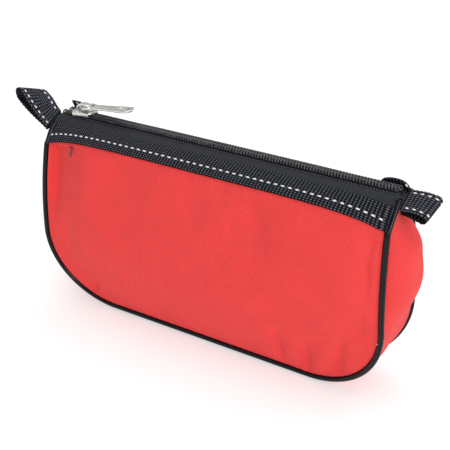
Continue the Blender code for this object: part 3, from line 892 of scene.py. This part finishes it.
def make_band_ends():
    """The back band's two ends, turned up beyond the zip, each with its own end of the stitch row."""
    for word, x_mid, half, height, round_by in (
        ("left", 3.2 * MM - LIP_HALF, 3.2 * MM, 5.0 * MM, 0.0),
        ("right", LIP_HALF - 4.5 * MM, 7.5 * MM, 3.6 * MM, 1.0),
    ):
        def point(u, v, lift=0.0, x_mid=x_mid, half=half, height=height, round_by=round_by):
            x = x_mid + u * half
            top = height * (1 - round_by * (1 - math.sqrt(max(0.0, 1 - abs(u * 0.98) ** 2.4))))
            y = 4.6 * MM + 3.4 * MM * (1 - v) + lift - round_by * 2.2 * MM * max(0.0, u) ** 2
            return (x, y, TAPE_Z - 1.5 * MM + (top + 2.0 * MM) * v + rib(x) * (1 - round_by))

        us = np.linspace(1, -1, 33)
        vs = np.linspace(0, 1, 17)
        obj = cloth_sheet(f"band_end_{word}", us, vs, point, WEBBING, paint["webbing"], True)
        sewn = us if round_by == 0 else [u for u in us if u > 0.45]
        row = [[tuple(point(u, 0.9, -WEBBING / 2)) for u in sewn]]
        thread = stitches(f"band_end_{word}_stitches", row, paint["thread"])
        for piece in filter(None, (obj, thread)):
            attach(piece, "pouch")


def make_loose_thread():
    """A short end of black thread left hanging under the band, lying on the front panel."""
    point = panel_point(FRONT)
    us = np.linspace(-0.795, -0.815, 9)
    vs = np.linspace(1.0, 0.962, 9)
    points = []
    for k, (u, v) in enumerate(zip(us, vs)):
        x, y, z = point(u, v)
        points.append((x + 0.15 * MM * math.sin(k * 0.9), y - 1.1 * MM + 0.5 * MM * k / len(us), z))
    obj = tube("thread_end", points, 0.38 * MM, paint["nylon"], 8)
    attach(obj, "pouch")


# --- slider and puller -----------------------------------------------------------------------------


def arc(centre, radius, start, end, steps, stretch=1.0):
    points = []
    for i in range(steps + 1):
        turn = math.radians(start + (end - start) * i / steps)
        points.append((centre[0] + radius * math.cos(turn) * stretch, centre[1] + radius * math.sin(turn)))
    return points


def soften(outline, times=2):
    """Rounds a closed outline by cutting its corners."""
    for _ in range(times):
        cut = []
        for k, a in enumerate(outline):
            b = outline[(k + 1) % len(outline)]
            cut.append((a[0] * 0.75 + b[0] * 0.25, a[1] * 0.75 + b[1] * 0.25))
            cut.append((a[0] * 0.25 + b[0] * 0.75, a[1] * 0.25 + b[1] * 0.75))
        outline = cut
    return outline


def rounded_flat(name, outlines, thickness, rounding, material):
    """A flat casting with rounded edges, centred on z = 0."""
    curve = bpy.data.curves.new(name, "CURVE")
    curve.dimensions = "2D"
    curve.fill_mode = "BOTH"
    curve.extrude = thickness / 2 - rounding
    curve.bevel_depth = rounding
    curve.bevel_resolution = 3
    curve.offset = -rounding
    for outline in outlines:
        spline = curve.splines.new("POLY")
        spline.points.add(len(outline) - 1)
        spline.use_cyclic_u = True
        for control, point in zip(spline.points, outline):
            control.co = (point[0], point[1], 0.0, 1.0)
    obj = add_object(name, curve)
    bpy.context.view_layer.update()
    mesh = bpy.data.meshes.new_from_object(obj.evaluated_get(bpy.context.evaluated_depsgraph_get()))
    bpy.data.objects.remove(obj, do_unlink=True)
    return finished(name, mesh, material, 35, merge=0.005 * MM)


def slider_outline():
    lead_x, trail_x = -SLIDER_LENGTH / 2, SLIDER_LENGTH / 2
    upper = [(trail_x, 0.0), (trail_x, SLIDER_TRAIL * 0.7), (trail_x - 1.2 * MM, SLIDER_TRAIL)]
    upper += [(-1.0 * MM, SLIDER_TRAIL + 0.3 * MM), (lead_x + 3.0 * MM, SLIDER_LEAD)]
    upper += [(lead_x + 1.0 * MM, SLIDER_LEAD * 0.9), (lead_x, SLIDER_LEAD * 0.5)]
    lower = [(x, -y) for x, y in reversed(upper[1:])]
    return soften(upper + [(lead_x + 0.8 * MM, 0.0)] + lower)


def crowned_plate(name, outline, rounding, crown, material):
    """A plate with a flat underside, rounded edges and a domed top, centred on z = 0."""
    rings = [(0.90, -PLATE / 2)]
    for i in range(7):
        turn = math.pi / 2 * i / 6
        scale = 1 - rounding * (1 - math.cos(turn)) / SLIDER_TRAIL
        rings.append((scale, rounding * math.sin(turn) - PLATE / 2 + 0.15 * MM))
    edge_scale, edge_z = rings[-1]
    for share in np.linspace(0.92, 0.08, 10):
        rings.append((edge_scale * share, edge_z + crown * (1 - share**2)))
    vertices = [(x * scale, y * scale, z) for scale, z in rings for x, y in outline]
    return make_object(name, vertices, ring_faces(len(rings), len(outline)), material)


def make_slider():
    top = crowned_plate("slider_top_plate", slider_outline(), 0.75 * MM, 0.35 * MM, paint["nickel"])
    top.location = (SLIDER_X, 0.0, PLATE_TOP_Z - PLATE / 2)
    low = rounded_flat("slider_lower_plate", [slider_outline()], PLATE, 0.35 * MM, paint["nickel"])
    low.location = (SLIDER_X, 0.0, PLATE_LOW_Z + PLATE / 2)
    height = PLATE_TOP_Z - PLATE_LOW_Z - PLATE
    oval = arc((0, 0), 0.8 * MM, 0, 345, 23, 2.1)
    post = rounded_flat("slider_divider", [oval], height, 0.1 * MM, paint["nickel"])
    post.location = (SLIDER_X - 4.2 * MM, 0.0, (PLATE_TOP_Z + PLATE_LOW_Z) / 2)
    for obj in (top, low, post):
        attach(obj, "slider")
    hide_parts("slider_body")
    drop, reach, thin = 2.0 * MM, 5.1 * MM, 0.35 * MM
    rail = [(-reach, -thin), (reach, -thin), (reach, thin), (-reach, thin)]
    for side in (FRONT, BACK):
        obj = rounded_flat(f"slider_rail_{WORDS[side]}", [rail], drop + PLATE / 2, 0.15 * MM, paint["nickel"])
        obj.location = (SLIDER_X + 0.2 * MM, side * 4.3 * MM, PLATE_TOP_Z - PLATE / 2 - drop / 2 - 0.1 * MM)
        obj.rotation_euler = (0.0, 0.0, -side * math.atan2(SLIDER_LEAD - SLIDER_TRAIL, SLIDER_LENGTH))
        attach(obj, "slider")

    half, high, thick = 4.6 * MM, 3.6 * MM, 0.9 * MM
    round_line = arc((0, 0), 1.0, 0, 180, 40)
    outline = [(x * half, max(0.0, y) ** 0.7 * high) for x, y in round_line]
    outline += [(x * (half - thick), max(0.0, y) ** 0.7 * (high - thick)) for x, y in reversed(round_line)]
    bridge = rounded_flat("slider_arch", [outline], BRIDGE_WIDTH, 0.2 * MM, paint["nickel"])
    bridge.rotation_euler = (math.pi / 2, 0.0, 0.0)
    bridge.location = (SLIDER_X, 0.0, PLATE_TOP_Z + 0.1 * MM)
    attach(bridge, "slider")
    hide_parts("slider_bridge")


def make_puller():
    back, front = 0.6 * MM, 0.7 * MM
    eye_x, eye_r, hole_x, hole_r, grip_r = 2.6 * MM, 4.6 * MM, 3.9 * MM, 2.5 * MM, 4.2 * MM
    corner = math.sqrt(eye_r**2 - (eye_x + back) ** 2)
    upper = [(-back, corner)] + arc((eye_x, 0.0), eye_r, 128, 40, 14)
    upper += [(8.2 * MM, 3.0 * MM), (12.0 * MM, 3.1 * MM), (20.0 * MM, 3.4 * MM), (23.5 * MM, 3.9 * MM)]
    upper += arc((PULLER_LENGTH - grip_r, 0.0), grip_r, 100, 0, 12)
    outline = upper + [(x, -y) for x, y in reversed(upper[:-1])]
    hole = [(front, 1.9 * MM), (front + 0.4 * MM, 2.35 * MM)] + arc((hole_x, 0.0), hole_r, 80, 0, 10)
    hole += [(x, -y) for x, y in reversed(hole[:-1])]
    slot = arc((PULLER_LENGTH - 5.6 * MM, 0.0), 1.9 * MM, 0, 348, 29, 3.6 / 1.9)
    obj = rounded_flat("pull_tab_casting", [outline, hole, slot], PULLER_THICK, 0.3 * MM, paint["nickel"])
    obj.location = (SLIDER_X, 0.0, PIVOT_Z)
    obj.rotation_euler = (0.0, -PULLER_TILT, 0.0)
    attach(obj, "pull_tab")
    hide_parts("puller")


# --- loops -----------------------------------------------------------------------------------------


def make_loop(name, body, root, along, wide_tip, length, gap, droop, slant):
    """A ribbed webbing folded back on itself, with a row of stitches near each edge."""
    root, along = Vector(root), Vector(along).normalized()
    wide_root, wide_tip = Vector(LOOP_ROOT_WIDE).normalized(), Vector(wide_tip).normalized()
    steps, turns = 70, 44
    line = []
    for i in range(steps + 1):
        share = i / steps
        line.append((share * (length - gap / 2), LOOP_ROOT_GAP + (gap - LOOP_ROOT_GAP) * smooth(share), 0.0))
    for i in range(1, turns):
        line.append((length - gap / 2, gap, math.pi * i / turns))
    for i in range(steps, -1, -1):
        share = i / steps
        line.append((share * (length - gap / 2), -LOOP_ROOT_GAP - (gap - LOOP_ROOT_GAP) * smooth(share), 0.0))
    last = len(line) - 1
    half_turn = math.pi * gap / 2

    def distance(index):
        flat = length - gap / 2
        if index <= steps:
            return flat * index / steps
        if index < steps + turns:
            return flat + half_turn * (index - steps) / turns
        return flat + half_turn + flat * (index - steps - turns) / steps

    def point(u, v, lift=0.0):
        index = round((u + 1) / 2 * last)
        run, offset, turn = line[index]
        share = run / length
        wide = wide_root.lerp(wide_tip, smooth(share)).normalized()
        out = along.cross(wide).normalized()
        bulge = rib(distance(index)) + selvedge(v) + lift
        if turn:
            radius = gap / 2 + bulge
            across = out * radius * math.cos(turn) + along * radius * math.sin(turn)
        else:
            across = out * (offset / 2 + math.copysign(bulge, offset))
        run += slant * share * (0.5 - v)
        centre = root + along * run + across - Vector((0, 0, droop * share**2))
        return centre + wide * LOOP_WIDTH * (v - 0.5)

    us = np.linspace(-1, 1, last + 1)
    runs = [distance(i) for i in range(last + 1)]
    obj = cloth_sheet(name, us, np.linspace(0, 1, 25), point, LOOP_THICK, paint["webbing"], True, runs)
    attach(obj, body)
    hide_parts(body.replace("_webbing", "_loop"))
    rows = [[tuple(point(u, v, LOOP_THICK / 2 - 0.1 * MM)) for u in us] for v in (0.15, 0.85)]
    rows_done = stitches(name + "_stitches", rows, paint["thread"])
    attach(rows_done, body)


def make_loops():
    make_loop("left_strap", "left_webbing", (-103.3 * MM, -6.5 * MM, 104.8 * MM), (-0.85, 0.156, 0.504),
              (0.593, 0.795, -0.127), 23.5 * MM, 7.4 * MM, 0.0, 3.2 * MM)
    make_loop("right_strap", "right_webbing", (102.6 * MM, -3.5 * MM, 105.8 * MM), (1.0, 0.0, 0.06),
              LOOP_ROOT_WIDE, 13.2 * MM, 4.4 * MM, 2.4 * MM, -3.0 * MM)


# --- contents --------------------------------------------------------------------------------------


def pillow(name, node, material):
    """A sealed sachet standing on edge: plump in the middle, flat and crimped along its ends."""
    low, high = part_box(node)
    size, centre = high - low, (high + low) / 2

    def thickness(u, v):
        body = (max(0.0, 1 - abs(u / 0.93) ** 5) * max(0.0, 1 - abs(v / 0.93) ** 5)) ** 0.5
        return 0.25 * MM + (size.y / 2 - 0.3 * MM) * body

    def surface(sign):
        rows = []
        for v in np.linspace(-1, 1, 45):
            row = []
            for u in np.linspace(-1, 1, 61):
                crimp = 0.12 * MM * math.sin(v * size.z * math.pi / (1.6 * MM)) if abs(u) > 0.93 else 0
                dimple = 0.25 * MM * noise.noise(Vector((u * 3, v * 3, centre.y * 900)))
                y = sign * (thickness(u, v) + dimple * (thickness(u, v) > 0.8 * MM)) + crimp
                row.append((centre.x + u * size.x / 2, centre.y + y, centre.z + v * size.z / 2))
            rows.append(row)
        return np.array(rows)

    front, back = surface(-1), surface(1)
    vertices = np.concatenate([front.reshape(-1, 3), back.reshape(-1, 3)])
    obj = make_object(name, vertices, shell_faces(*front.shape[:2]), material)
    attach(obj, "pouch")
    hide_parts(node)


def wound(name, node, core, turn_thick, material):
    """A strip wound on itself, whose turns show on its ends; its length runs along X."""
    low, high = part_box(node)
    centre, half = (low + high) / 2, (high.x - low.x) / 2 - 0.3 * MM
    radius = (high.z - low.z) / 2 - 0.4 * MM
    turns = (radius - core) / turn_thick
    steps = int(turns * 48)
    wall = turn_thick * 0.8
    vertices = []
    for i in range(steps + 1):
        share = i / steps
        angle = 2 * math.pi * turns * share
        outer = core + (radius - core) * share
        ripple = 0.25 * MM * noise.noise(Vector((share * 60, 0.3, half * 100)))
        for r, end in ((outer, -1), (outer, 1), (outer - wall, 1), (outer - wall, -1)):
            vertices.append((centre.x + end * (half + ripple), centre.y + r * math.cos(angle),
                             centre.z + r * math.sin(angle)))
    obj = make_object(name, vertices, ring_faces(steps + 1, 4), material)
    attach(obj, "pouch")
    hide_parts(node)


def make_contents():
    for index in (1, 2):
        pillow(f"gauze_sachet_{index}", f"gauze_pack_{index}", paint["gauze"])
        pillow(f"wipe_packet_{index}", f"wipe_sachet_{index}", paint["sachet"])
    wound("wound_bandage_large", "roller_bandage_large", 2.4 * MM, 1.25 * MM, paint["crepe"])
    wound("wound_bandage_small", "roller_bandage_small", 2.0 * MM, 1.2 * MM, paint["crepe"])
    for node, material in (("plaster_pack", "carton"), ("tape_roll", "zinc"), ("tape_core", "core"),
                           ("tweezers", "steel"), ("lock_spring", "steel")):
        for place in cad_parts[node].material_slots:
            place.material = paint[material]


# --- camera, floor and light -----------------------------------------------------------------------


def make_stage():
    mesh = bpy.data.meshes.new("floor")
    spots = [(x * FLOOR_HALF, y * FLOOR_HALF, 0) for x, y in ((-1, -1), (1, -1), (1, 1), (-1, 1))]
    mesh.from_pydata(spots, [], [(0, 1, 2, 3)])
    floor = add_object("floor", mesh)
    floor.location.z = -FLOOR_DROP
    pale = Nodes("pale_floor", (0.60, 0.60, 0.60), 0.9)
    pale.shader.inputs["Emission Color"].default_value = (1.0, 1.0, 1.0, 1.0)
    pale.shader.inputs["Emission Strength"].default_value = FLOOR_GLOW
    mesh.materials.append(pale.material)

    world = bpy.data.worlds.new("studio")
    world.use_nodes = True
    sky = world.node_tree.nodes["Background"]
    sky.inputs["Color"].default_value = (1.0, 1.0, 1.0, 1.0)
    place = world.node_tree.nodes.new("ShaderNodeTexCoord")
    split = world.node_tree.nodes.new("ShaderNodeSeparateXYZ")
    ramp = world.node_tree.nodes.new("ShaderNodeMapRange")
    for key, value in zip(("From Min", "From Max", "To Min", "To Max"), (-1.0, 1.0, *SKY)):
        ramp.inputs[key].default_value = value
    world.node_tree.links.new(place.outputs["Generated"], split.inputs["Vector"])
    world.node_tree.links.new(split.outputs["X"], ramp.inputs["Value"])
    world.node_tree.links.new(ramp.outputs["Result"], sky.inputs["Strength"])
    bpy.context.scene.world = world
    for name, kind, spot, wide, power in LAMPS:
        light = bpy.data.lights.new(name, kind)
        if kind == "SUN":
            light.angle = wide
        else:
            light.size = wide
        light.energy = power
        obj = add_object(name, light)
        obj.location = spot
        obj.rotation_mode = "QUATERNION"
        aim = Vector(spot) if kind == "SUN" else Vector(spot) - CAMERA_TARGET
        obj.rotation_quaternion = aim.to_track_quat("Z", "Y")


def make_camera():
    data = bpy.data.cameras.new("camera")
    data.lens = CAMERA_LENS
    data.sensor_width = SENSOR_WIDTH
    camera = add_object("camera", data)
    flat, rise = math.cos(CAMERA_ELEVATION), math.sin(CAMERA_ELEVATION)
    back = Vector((math.sin(CAMERA_AZIMUTH) * flat, -math.cos(CAMERA_AZIMUTH) * flat, rise))
    camera.location = CAMERA_TARGET + back * CAMERA_DISTANCE
    camera.rotation_mode = "QUATERNION"
    camera.rotation_quaternion = (-back).to_track_quat("-Z", "Y")
    bpy.context.scene.camera = camera
    bpy.context.scene.view_settings.view_transform = "Standard"


make_camera()
make_panels()
make_gusset()
make_end_tabs()
make_pipings()
make_lips()
make_band_ends()
make_loose_thread()
make_slider()
make_puller()
make_loops()
make_contents()
make_stage()

bpy.context.view_layer.update()
